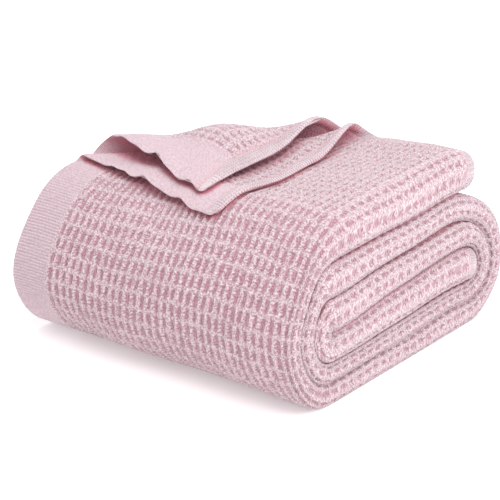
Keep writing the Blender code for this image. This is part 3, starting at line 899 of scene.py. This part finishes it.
@dataclass
class WovenLayer:
    """A fine layer over part of one side of the cloth, in its rolled shape."""

    name: str
    across: tuple[float, float]
    along: tuple[float, float]
    side: Side = Side.FACE
    steps: tuple[float, float] = (0.0012, 0.0016)  # spacing of its points across and along
    corner: str = ""  # first or second: the hem whose turned corner trims the layer
    beyond: tuple[float, float] = (-1.0, 1.0)  # part kept, measured beyond the corner's line

    def grid(self, cloth: FoldedCloth) -> tuple[Array, Array, Array]:
        """Lay out the layer on the flat cloth.

        Args:
            cloth: The folded cloth.

        Returns:
            Distances across and along for each point, and the corners of each cell.
        """
        across_step, along_step = self.steps
        columns = max(2, round((self.across[1] - self.across[0]) / across_step) + 1)
        x = np.linspace(self.across[0], self.across[1], columns)
        first = math.ceil(self.along[0] / along_step - 1e-6)
        last = math.floor(self.along[1] / along_step + 1e-6)
        y = np.arange(first, last + 1) * along_step
        if self.along[1] >= cloth.length and y[-1] < cloth.length - 1e-6:
            y = np.append(y, cloth.length)
        y_grid, x_grid = np.meshgrid(y, x, indexing="ij")
        number = np.arange(len(y) * len(x)).reshape(len(y), len(x))
        low, high = number[:-1], number[1:]
        cells = np.stack([low[:, :-1], low[:, 1:], high[:, 1:], high[:, :-1]], axis=2)
        cells = cells.reshape(-1, 4)
        x_flat, y_flat = x_grid.ravel(), y_grid.ravel()
        if self.corner:
            hem = x_flat if self.corner == "first" else cloth.width - x_flat
            beyond = cloth.beyond_line(hem, cloth.length - y_flat)
            middle = beyond[cells].mean(axis=1)
            cells = cells[(middle > self.beyond[0]) & (middle < self.beyond[1])]
            used = np.unique(cells)
            renumber = np.zeros(len(x_flat), dtype=int)
            renumber[used] = np.arange(len(used))
            x_flat, y_flat, cells = x_flat[used], y_flat[used], renumber[cells]
        return x_flat, y_flat, cells

    def sheltered(
        self, cloth: FoldedCloth, shelter: Shelter, across: Array, along: Array
    ) -> Array:
        """How far other folds shelter the layer, found on a coarse grid and eased between.

        Args:
            cloth: The folded cloth.
            shelter: What finds the shelter of a place.
            across: Distances across of the layer's points.
            along: Their distances along.

        Returns:
            The shelter of each point.
        """
        x, y = (
            np.linspace(low, high, max(3, round((high - low) / step) + 1))
            for (low, high), step in (
                (self.across, shelter.step_x),
                (self.along, shelter.step_y),
            )
        )
        y_grid, x_grid = np.meshgrid(y, x, indexing="ij")
        height = self.side.value * cloth.cloth / 2.0
        heights = np.full(y_grid.size, height)
        points = cloth.place(x_grid.ravel(), y_grid.ravel(), heights)
        above = cloth.place(x_grid.ravel(), y_grid.ravel(), heights * 1.2)
        table = shelter.of(points, above - points).reshape(y_grid.shape)
        place_x = np.clip((across - x[0]) / (x[1] - x[0]), 0.0, len(x) - 1.001)
        place_y = np.clip((along - y[0]) / (y[1] - y[0]), 0.0, len(y) - 1.001)
        column, row = place_x.astype(int), place_y.astype(int)
        part_x, part_y = place_x - column, place_y - row
        front = table[row, column] * (1.0 - part_x) + table[row, column + 1] * part_x
        back = table[row + 1, column] * (1.0 - part_x) + table[row + 1, column + 1] * part_x
        return front * (1.0 - part_y) + back * part_y

    def build(
        self, cloth: FoldedCloth, rims: ClothEdges, shelter: Shelter
    ) -> bpy.types.Object:
        """Make the smooth layer.

        Args:
            cloth: The folded cloth.
            rims: The cloth's borders and hems.
            shelter: What finds how far other folds shelter a place.

        Returns:
            The layer, with the attributes that the relief reads.
        """
        across, along, cells = self.grid(cloth)
        sign = float(self.side.value)
        half = rims.half_thickness(cloth, across, along)
        points = cloth.place(across, along, sign * half)
        above = cloth.place(across, along, sign * (half + NUDGE))
        outward = above - points
        outward /= np.linalg.norm(outward, axis=1)[:, None]
        if sign < 0.0:
            cells = cells[:, ::-1]
        piece = new_piece(self.name, points, [], cells)
        level = np.zeros(len(across))
        sheltered = self.sheltered(cloth, shelter, across, along)
        creased = cloth.crease(across, along) * shelter.crease_share
        attributes = {
            "flat": np.stack([across, along, level], axis=1),
            "relaxed": np.stack([across, cloth.relaxed(across, along), level], axis=1),
            "outward": outward,
            "waffle": rims.waffle(cloth, across, along),
            "hem": rims.end_band(cloth, along),
            "opened": cloth.opened(along),
            "shelter": np.maximum(sheltered, creased),
        }
        store(piece, attributes)
        return piece


@dataclass
class HemStitches:
    """Threads sewn over the end hem of the cloth, from one side of it over the rim to the other."""

    name: str = "hem_stitches"
    pitch: float = 0.0034  # spacing of the threads along the hem
    radius: float = 0.00065  # of a thread, drawn thicker than real so that it shows
    slant: float = 0.0012  # how far a thread runs aside between its seam and the rim
    sides: int = 5
    steps: tuple[float, ...] = (0.0122, 0.0095, 0.0065, 0.0035, 0.0010)  # from the rim inwards
    at_rim: float = 0.0002  # how far a thread's outermost point keeps inside the rim
    raised: float = 0.0001  # how far the middle of a thread lies above the hem
    clear: float = 0.006  # distance from the side hems that has no stitches
    second_reach: float = 0.335  # how far along the second hem's ply the stitches show
    core_lead: float = 0.03  # how far before the closed fold they set in at the core
    two_sides: float = 0.003  # keeps the yarn's lumps on both sides of the hem apart

    def joints(self) -> int:
        """How many points a thread's line has."""
        return 2 * len(self.steps) + 1

    def tree(self) -> bpy.types.NodeTree:
        """Build the node tree that makes a round thread of each line.

        Returns:
            The tree, with a Geometry, a Material, a Radius and a Sides input.
        """
        sizes = {"Radius": "NodeSocketFloat", "Sides": "NodeSocketInt"}
        tree = node_group("hem stitches", sizes)
        size = add_node(tree, "NodeGroupInput").outputs
        lines = add_node(tree, "GeometryNodeMeshToCurve", {0: size["Geometry"]}).outputs[0]
        ring = add_node(
            tree,
            "GeometryNodeCurvePrimitiveCircle",
            {"Resolution": size["Sides"], "Radius": size["Radius"]},
        ).outputs[0]
        threads = add_node(
            tree,
            "GeometryNodeCurveToMesh",
            {"Curve": lines, "Profile Curve": ring},
            {"Fill Caps": True},
        ).outputs[0]
        rounded = add_node(tree, "GeometryNodeSetShadeSmooth", {0: threads}).outputs[0]
        finish_group(tree, rounded, size["Material"])
        return tree

    def build(
        self,
        cloth: FoldedCloth,
        rims: ClothEdges,
        shelter: Shelter,
        material: bpy.types.Material,
    ) -> bpy.types.Object:
        """Make the threads.

        Args:
            cloth: The folded cloth.
            rims: The cloth's borders and hems.
            shelter: What finds how far other folds shelter a place.
            material: What the threads are dressed in.

        Returns:
            The finished piece.
        """
        edges, width = cloth.edges, cloth.width
        outer = np.arange(self.clear, edges[2], self.pitch)
        second = np.arange(width - self.second_reach, width - self.clear, self.pitch)
        core = np.arange(edges[1] - self.core_lead, edges[2], self.pitch)
        starts = np.concatenate([outer, second, core])
        at_core = np.repeat(np.arange(len(starts)) >= len(outer) + len(second), self.joints())
        inward = np.array(self.steps + (self.at_rim,) + self.steps[::-1])
        sign = np.array([1.0] * len(self.steps) + [0.0] + [-1.0] * len(self.steps))
        across = (starts[:, None] + self.slant * inward / inward.max()).ravel()
        inward = np.tile(inward, len(starts))
        along = np.where(at_core, inward, cloth.length - inward)
        half = rims.half_thickness(cloth, across, along) + self.raised
        side = np.tile(sign, len(starts))
        points = cloth.place(across, along, half * side)
        number = np.arange(len(points)).reshape(len(starts), self.joints())
        lines = np.stack([number[:, :-1], number[:, 1:]], axis=2).reshape(-1, 2)
        piece = new_piece(self.name, points, lines, [])
        outward = cloth.place(across, along, (half + NUDGE) * np.where(side < 0.0, -1.0, 1.0))
        flat = np.stack([across, along, side * self.two_sides], axis=1)
        store(piece, {"flat": flat, "shelter": shelter.of(points, outward - points)})
        sizes = {"Radius": self.radius, "Sides": self.sides}
        pass_through(piece, self.tree(), sizes, material)
        return piece


@dataclass
class PlainCloth:
    """The closed cloth under the woven layers, over the whole blanket."""

    name: str = "blanket_cloth"
    stretch_step: float = 0.013  # spacing of its points along the cloth
    ply_step: float = 0.026  # across a ply
    fold_step: float = 0.0055  # across a fold
    sunk: float = 0.0017  # how far it lies below the ribs where a woven layer covers it
    inset: float = 0.0002  # how far it lies inside the cloth's true surface everywhere
    plain_inset: float = 0.0010  # how far it keeps clear of the ribs of the plain borders
    thinnest: float = 0.0004  # what is left of it between two woven layers
    half_rim: float = 0.00015  # half of its thickness at its very rim
    rim_columns: tuple[float, ...] = (0.0, 0.0005, 0.0015, 0.005)  # rounding of the side hems
    first_column: float = 0.012  # where the even columns begin
    rim_rows: tuple[float, ...] = (0.0, 0.0005, 0.0015, 0.004, 0.007, 0.0095, 0.013)
    fine_before: float = 0.020  # how far around the corner's fold line the cells are fine
    fine_past: float = 0.085
    # Where woven layers cover it, as start and width of a fade beyond the corner's fold line:
    first_cover: tuple[float, float] = (-0.012, 0.012)  # the back of the outer ply
    inside_cover: tuple[float, float] = (0.030, 0.012)  # the end of that on its face
    second_cover: tuple[float, float] = (-0.024, 0.010)  # the second ply
    third_cover: tuple[float, float] = (-0.045, 0.010)  # the ply under the turned corner

    def stations(self, cloth: FoldedCloth) -> tuple[Array, Array]:
        """Places of the columns and rows of points."""
        columns = [np.array(self.rim_columns)]
        edges = cloth.edges
        for index, (start, end) in enumerate(zip(edges[:-1], edges[1:])):
            step = self.fold_step if index % 2 == 1 else self.ply_step
            first = self.first_column if index == 0 else start
            last = end - self.first_column if index == len(edges) - 2 else end
            count = max(4, round((last - first) / step))
            columns.append(np.linspace(first, last, count + 1))
        columns.append(cloth.width - columns[0])
        rows = np.array(self.rim_rows)
        count = round((cloth.length - 2 * rows[-1]) / self.stretch_step)
        middle = np.linspace(rows[-1], cloth.length - rows[-1], count + 1)
        rows = np.concatenate([rows, middle, cloth.length - rows])
        return np.unique(np.concatenate(columns).round(9)), np.unique(rows.round(9))

    def flat_mesh(self, cloth: FoldedCloth) -> bmesh.types.BMesh:
        """The flat cloth as a mesh of cells, finer around the turned corner's fold line."""
        mesh = bmesh.new()
        columns, rows = self.stations(cloth)
        points = [[mesh.verts.new((x, y, 0.0)) for x in columns] for y in rows]
        for low, high in zip(points[:-1], points[1:]):
            for number in range(len(columns) - 1):
                mesh.faces.new((low[number], low[number + 1], high[number + 1], high[number]))
        for _ in range(2):
            chosen = set()
            for face in mesh.faces:
                middle = face.calc_center_median()
                hem = min(middle.x, cloth.width - middle.x)
                beyond = cloth.beyond_line(hem, cloth.length - middle.y)
                if -self.fine_before < beyond < self.fine_past and hem < cloth.run:
                    chosen.update(face.edges)
            bmesh.ops.subdivide_edges(mesh, edges=list(chosen), cuts=1, use_grid_fill=True)
        bmesh.ops.triangulate(mesh, faces=mesh.faces[:])
        return mesh

    def covers(self, cloth: FoldedCloth, across: Array, distance: Array) -> tuple[Array, Array]:
        """Shares of the cloth's face and back that a woven layer covers."""
        edges = cloth.edges

        def cover(hem: Array, fade: tuple[float, float]) -> Array:
            """Share covered at a distance from the hem, which sets in beyond the fold line."""
            return smooth((cloth.beyond_line(hem, cloth.length - distance) - fade[0]) / fade[1])

        outer = across < edges[2]
        left_fold = (across > edges[3]) & (across < edges[4])
        last = across > edges[10]
        under = (across >= edges[4]) & (across < edges[5])
        hem = (across - edges[4]) * cloth.run / (edges[5] - edges[4])
        face = outer * (1.0 - cover(across, self.inside_cover)) + left_fold
        face = face + last * cover(cloth.width - across, self.second_cover)
        face = face + under * cover(hem, self.third_cover)
        return face, outer * cover(across, self.first_cover)

    def build(
        self, cloth: FoldedCloth, rims: ClothEdges, material: bpy.types.Material
    ) -> bpy.types.Object:
        """Make the closed cloth.

        Args:
            cloth: The folded cloth.
            rims: The cloth's borders and hems.
            material: What the cloth is dressed in.

        Returns:
            The finished piece.
        """
        flat = self.flat_mesh(cloth)
        flat.verts.index_update()
        places = np.array([vertex.co for vertex in flat.verts])
        count = len(places)
        across, along = places[:, 0].copy(), places[:, 1].copy()
        faces = [[vertex.index for vertex in face.verts] for face in flat.faces]
        solid = faces + [[index + count for index in reversed(face)] for face in faces]
        for edge in flat.edges:
            if len(edge.link_faces) == 1:
                loop = edge.link_loops[0]
                first, second = loop.vert.index, loop.link_loop_next.vert.index
                solid.append([first, first + count, second + count, second])
        flat.free()
        half = rims.half_thickness(cloth, across, along)
        waffle = rims.waffle(cloth, across, along)
        face_cover, back_cover = self.covers(cloth, across, along)
        half = np.maximum(half - self.inset - self.plain_inset * (1.0 - waffle), self.half_rim)
        covered = np.maximum(face_cover + back_cover, 1e-6) * waffle
        room = np.maximum(2.0 * half - self.thinnest, 0.0)
        sunk = waffle * np.minimum(self.sunk, room / np.maximum(covered, 1e-6))
        outer = cloth.place(across, along, half - sunk * face_cover)
        inner = cloth.place(across, along, -(half - sunk * back_cover))
        piece = new_piece(self.name, np.concatenate([outer, inner]), [], solid, material)
        attributes = {
            "flat": np.stack([across, along, across * 0.0], axis=1),
            "waffle": waffle,
            "hem": rims.end_band(cloth, along),
            "pit": np.zeros(count),
        }
        store(piece, {name: np.concatenate([part, part]) for name, part in attributes.items()})
        return piece


@dataclass(frozen=True)
class WovenCotton:
    """Finish of brushed cotton yarn, dyed pale pink and woven.

    Brushed cotton is dull and hardly shines. Its loose fibres catch the light at a slant, which
    the eye sees as a faint pale bloom, and each yarn is a little uneven in its colour.
    """

    name: str = "woven cotton"
    rib_colour: str = "#BC919C"  # deeper parts of the yarns of the waffle weave
    light_colour: str = "#E9D7DC"  # paler parts of them, and of the end hems
    plain_colour: str = "#C1A9B0"  # the same of the plain borders
    plain_light: str = "#D0BBC2"
    # painted shade at the bottoms of the pits, where the ribs shelter them
    pit_colour: str = "#A9667A"
    crease_colour: str = "#CF7F90"  # painted rose shade of sheltered places, and of the shadow line along the end hems' seams
    roughness: float = 0.95
    shine: float = 0.2
    bloom: float = 0.9
    bloom_roughness: float = 0.45
    bloom_colour: str = "#FAF0F4"
    yarn_size: float = 470.0  # lumps of yarn for each metre, drawn coarser than real
    yarn_depth: float = 0.0050  # height of a lump for the shading
    yarn_range: tuple[float, float] = (0.40, 0.60)  # of the noise, from deeper to paler parts
    plain_yarn: float = 0.2  # share of the lumps' height on the plain borders
    hem_light: float = 0.6  # how far the end hems are as pale as the paler yarn
    pit_power: float = 1.8  # above 1, only the bottoms of the pits are deep
    pit_share: float = 0.7  # how far those take the painted pit shade
    shelter_range: tuple[float, float] = (0.19, 0.66)  # where the painted rose shade sets in and is full
    shelter_share: float = 0.95  # how far the most sheltered places take the painted rose shade
    seam_share: float = 1.6  # strength of the painted shadow line along the seam of an end hem
    hem_pitch: float = 0.0030  # spacing of the stitches over the end hems
    hem_depth: float = 0.25  # share of a lump's height that the waves of the end hems have
    hem_waver: float = 0.8  # how far those waves stray from even ones

    def material(self) -> bpy.types.Material:
        """Build the material.

        Returns:
            The finished material.
        """
        material = bpy.data.materials.new(self.name)
        material.use_nodes = True
        tree = material.node_tree
        shader = tree.nodes["Principled BSDF"]
        plain_values = {
            "Roughness": self.roughness,
            "Specular IOR Level": self.shine,
            "Sheen Weight": self.bloom,
            "Sheen Roughness": self.bloom_roughness,
            "Sheen Tint": linear_rgb(self.bloom_colour),
        }
        for name, value in plain_values.items():
            shader.inputs[name].default_value = value
        read = {
            name: add_node(tree, "ShaderNodeAttribute", attribute_name=name).outputs
            for name in ("flat", "pit", "waffle", "hem", "shelter")
        }
        flat = read["flat"]["Vector"]
        waffle, hem = read["waffle"]["Fac"], read["hem"]["Fac"]
        calc = partial(work_out, tree)

        def mixed(amount: object, first: object, second: object) -> bpy.types.NodeSocket:
            """Mix of two colours, each a socket or a hex colour."""
            terms = {6: first, 7: second}
            links = {key: term for key, term in terms.items() if not isinstance(term, str)}
            values = {key: linear_rgb(term) for key, term in terms.items() if key not in links}
            links[0] = amount
            return add_node(tree, "ShaderNodeMix", links, values, data_type="RGBA").outputs[2]

        def eased(
            value: object, limits: tuple[float, float], most: float, kind: str
        ) -> bpy.types.NodeSocket:
            """A value spread from 0 at the first limit to the most at the second."""
            values = {"From Min": limits[0], "From Max": limits[1], "To Min": 0.0, "To Max": most}
            return add_node(
                tree, "ShaderNodeMapRange", {"Value": value}, values, interpolation_type=kind
            ).outputs["Result"]

        yarn = add_node(
            tree,
            "ShaderNodeTexNoise",
            {"Vector": flat},
            {"Scale": self.yarn_size, "Detail": 1.5, "Roughness": 0.6},
        ).outputs["Fac"]
        specks = eased(yarn, self.yarn_range, 1.0, "LINEAR")
        plain = mixed(specks, self.plain_colour, self.plain_light)
        plain = mixed(calc("MULTIPLY", hem, self.hem_light), plain, self.light_colour)
        colour = mixed(waffle, plain, mixed(specks, self.rib_colour, self.light_colour))
        # Painted shade at the bottoms of the pits of the waffle weave.
        deep = calc("POWER", read["pit"]["Fac"], self.pit_power)
        colour = mixed(calc("MULTIPLY", deep, self.pit_share), colour, self.pit_colour)
        # Painted shade: sheltered places are tinted rose, in place of light that has met pink cloth
        # many times.
        shelter = read["shelter"]["Fac"]
        shelter = eased(shelter, self.shelter_range, self.shelter_share, "SMOOTHSTEP")
        colour = mixed(shelter, colour, self.crease_colour)
        # Painted shade: the seam that holds an end hem draws the cloth in, so a darker line is
        # painted along it.
        seam = calc("MULTIPLY", hem, calc("SUBTRACT", 1.0, hem))
        colour = mixed(calc("MULTIPLY", seam, self.seam_share), colour, self.crease_colour)
        tree.links.new(colour, shader.inputs["Base Color"])
        # A Wave texture repeats every 0.314 units, so this gives one wave for each stitch.
        scale = 0.314159 / self.hem_pitch
        stitches = add_node(
            tree,
            "ShaderNodeTexWave",
            {"Vector": flat},
            {"Scale": scale, "Distortion": self.hem_waver, "Detail Scale": 3.0},
            bands_direction="X",
        ).outputs["Fac"]
        rough = calc("MULTIPLY_ADD", waffle, 1.0 - self.plain_yarn, self.plain_yarn)
        stitched = calc("MULTIPLY", stitches, hem)
        height = calc("MULTIPLY_ADD", stitched, self.hem_depth, calc("MULTIPLY", yarn, rough))
        bump = add_node(tree, "ShaderNodeBump", {"Height": height}, {"Distance": self.yarn_depth})
        tree.links.new(bump.outputs[0], shader.inputs["Normal"])
        return material


@dataclass
class Blanket:
    """The whole blanket: the closed cloth, the woven layers over it and its hem stitches."""

    cloth: FoldedCloth = field(default_factory=FoldedCloth)
    rims: ClothEdges = field(default_factory=ClothEdges)
    relief: WaffleRelief = field(default_factory=WaffleRelief)
    plain: PlainCloth = field(default_factory=PlainCloth)
    stitches: HemStitches = field(default_factory=HemStitches)
    finish: WovenCotton = field(default_factory=WovenCotton)
    border_end: float = 0.0504  # where the layers of plain border give way to waffle layers
    seam_step: float = 0.0096  # layers meet at multiples of this, so that their rows match
    rear_start: float = 0.186  # where the rear layers begin, along the stretch before the bottom
    ribbed: tuple[float, float] = (0.0021, 0.0008)  # steps that are fine along, for the ribs
    half_seen: tuple[float, float] = (0.0016, 0.0019)  # steps where little of a layer shows
    underside: tuple[float, float] = (0.0022, 0.0032)  # steps where it lies on the floor
    underside_ribbed: tuple[float, float] = (0.0042, 0.0008)
    top_end: float = 0.045  # where the top layers stop beyond the corner's fold line
    outer_start: float = -0.012  # where the layers of the turned corner begin
    second_start: float = -0.022
    outer_reach: float = 0.30  # how far from the end they reach
    second_reach: float = 0.32
    under_reach: float = 0.27
    same_place: float = 0.00002  # points of two layers no farther apart than this are one

    def layers(self) -> list[WovenLayer]:
        """The woven layers, each over one part that shows."""
        cloth, edges, step = self.cloth, self.cloth.edges, self.seam_step
        length, width = cloth.length, cloth.width
        before, bottom = cloth.path.stretch_starts[3:5]
        marks = (bottom + cloth.front_start, before + self.rear_start, bottom)
        seam, rear, low = (round(mark / step) * step for mark in marks)
        hem, fold = self.border_end, edges[1]
        front = (seam, length)
        corner, second = (length - self.outer_reach, length), (length - self.second_reach, length)
        top = {"corner": "first", "beyond": (-1.0, self.top_end)}
        turned = {"side": Side.BACK, "corner": "first", "beyond": (self.outer_start, 1.0)}
        inner = {"corner": "second", "beyond": (self.second_start, 1.0)}
        ribs = {"steps": self.ribbed}
        field_across, border_across = (width - fold, width - hem), (width - hem, width)
        under, whole = (length - self.under_reach, length), (0.0, length)
        return [
            WovenLayer("waffle_front_and_top", (hem, fold), front, **top),
            WovenLayer("border_front_and_top", (0.0, hem), front, **ribs, **top),
            WovenLayer("waffle_rear", (hem, fold), (rear, low)),
            WovenLayer("border_rear", (0.0, hem), (rear, low), **ribs),
            WovenLayer("waffle_underside", (hem, fold), (low, seam), steps=self.underside),
            WovenLayer("border_underside", (0.0, hem), (low, seam), steps=self.underside_ribbed),
            WovenLayer("waffle_right_fold", (fold, edges[2]), whole),
            WovenLayer("waffle_left_fold", (edges[3], edges[4]), whole, steps=self.half_seen),
            WovenLayer("waffle_corner_outer", (hem, fold), corner, **turned),
            WovenLayer("border_corner_outer", (0.0, hem), corner, **ribs, **turned),
            WovenLayer("waffle_corner_second", field_across, second, **inner),
            WovenLayer("border_corner_second", border_across, second, **ribs, **inner),
            WovenLayer("waffle_under_corner", (edges[4], edges[5]), under, steps=self.half_seen),
        ]

    def match_normals(self, pieces: list[bpy.types.Object]) -> None:
        """Give points that two layers share one normal, so that no seam shows.

        Args:
            pieces: The woven layers.
        """
        read = [points_and_normals(piece.data) for piece in pieces]
        points, normals = (np.concatenate(parts) for parts in zip(*read))
        keys = np.round(points / self.same_place).astype(np.int64)
        group = np.unique(keys, axis=0, return_inverse=True)[1].ravel()
        total = np.zeros((group.max() + 1, 3))
        np.add.at(total, group, normals)
        shared = total[group]
        shared /= np.maximum(np.linalg.norm(shared, axis=1), 1e-9)[:, None]
        ends = np.cumsum([len(part) for part, _ in read])
        for piece, own in zip(pieces, np.split(shared, ends[:-1])):
            piece.data.normals_split_custom_set_from_vertices(own)

    def build(self) -> None:
        """Build every piece of the blanket and attach it to the root body."""
        material = self.finish.material()
        carrier = self.plain.build(self.cloth, self.rims, material)
        LOG.info("%s: %d faces", carrier.name, len(carrier.data.polygons))
        tree = self.relief.tree()
        shelter = Shelter(carrier)
        shelter.dress_folds()
        pieces = []
        for layer in self.layers():
            piece = layer.build(self.cloth, self.rims, shelter)
            pass_through(piece, tree, self.relief.inputs(), material)
            LOG.info("%s: %d faces", piece.name, len(piece.data.polygons))
            pieces.append(piece)
        self.match_normals(pieces)
        threads = self.stitches.build(self.cloth, self.rims, shelter, material)
        LOG.info("%s: %d faces", threads.name, len(threads.data.polygons))
        pieces.append(threads)
        for piece in [carrier, *pieces]:
            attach(piece, "root")
        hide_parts("blanket")


@dataclass(frozen=True)
class Lamp:
    """One soft light of the studio."""

    name: str
    place: tuple[float, float, float]
    size: float
    power: float


@dataclass
class Studio:
    """Floor, light and camera."""

    target: tuple[float, float, float] = (0.0086, -0.0340, 0.1005)
    azimuth: float = 0.654582850962918
    elevation: float = 0.38398525955984875
    distance: float = 2.4
    lens: float = 156.47  # focal length in millimetres
    film: float = 36.0  # width of the picture on the film, in millimetres
    floor_size: float = 30.0
    floor_colour: str = "#FBFBFB"
    floor_glow: float = 0.27  # keeps the floor as pale as an overexposed paper sweep
    world_strength: float = 0.86
    lit: tuple[float, float, float] = (0.0, 0.0, 0.1)  # what the lamps point at
    lamps: tuple[Lamp, ...] = (
        Lamp("key light", (1.4, -0.6, 1.9), 1.8, 34.0),
        Lamp("top light", (-0.2, 0.4, 2.4), 1.8, 12.0),
    )

    def add_floor(self) -> None:
        """A plain pale floor, softly lit."""
        half = self.floor_size / 2.0
        corners = [(-half, -half, 0.0), (half, -half, 0.0), (half, half, 0.0), (-half, half, 0.0)]
        material = bpy.data.materials.new("matt white paper")
        material.use_nodes = True
        shader = material.node_tree.nodes["Principled BSDF"]
        shader.inputs["Base Color"].default_value = linear_rgb(self.floor_colour)
        shader.inputs["Emission Color"].default_value = (1.0, 1.0, 1.0, 1.0)
        shader.inputs["Emission Strength"].default_value = self.floor_glow
        shader.inputs["Roughness"].default_value = 1.0
        shader.inputs["Specular IOR Level"].default_value = 0.0
        new_piece("floor", corners, [], [(0, 1, 2, 3)], material)

    def add_light(self) -> None:
        """An even pale surround and large soft lights."""
        world = bpy.data.worlds.new("studio")
        world.use_nodes = True
        background = world.node_tree.nodes["Background"]
        background.inputs["Color"].default_value = (1.0, 1.0, 1.0, 1.0)
        background.inputs["Strength"].default_value = self.world_strength
        bpy.context.scene.world = world
        for lamp in self.lamps:
            data = bpy.data.lights.new(lamp.name, "AREA")
            data.shape = "DISK"
            data.size = lamp.size
            data.energy = lamp.power
            light = bpy.data.objects.new(lamp.name, data)
            light.location = lamp.place
            aim = Vector(self.lit) - Vector(lamp.place)
            light.rotation_euler = aim.to_track_quat("-Z", "Y").to_euler()
            bpy.context.collection.objects.link(light)

    def add_camera(self) -> None:
        """A long lens at the photograph's viewing angle."""
        data = bpy.data.cameras.new("camera")
        data.lens = self.lens
        data.sensor_width = self.film
        camera = bpy.data.objects.new("camera", data)
        across = math.cos(self.elevation)
        back = Vector(
            (
                math.sin(self.azimuth) * across,
                -math.cos(self.azimuth) * across,
                math.sin(self.elevation),
            )
        )
        camera.location = Vector(self.target) + back * self.distance
        camera.rotation_euler = (-back).to_track_quat("-Z", "Y").to_euler()
        data.clip_end = 100.0
        bpy.context.collection.objects.link(camera)
        bpy.context.scene.camera = camera
        bpy.context.scene.view_settings.view_transform = "Standard"


def main() -> None:
    """Build the blanket and its studio."""
    logging.basicConfig(level=logging.INFO, format="%(name)s: %(message)s")
    Blanket().build()
    studio = Studio()
    studio.add_floor()
    studio.add_light()
    studio.add_camera()
    LOG.info("studio: floor, %d lights and camera", len(studio.lamps))


if __name__ == "__main__":
    main()
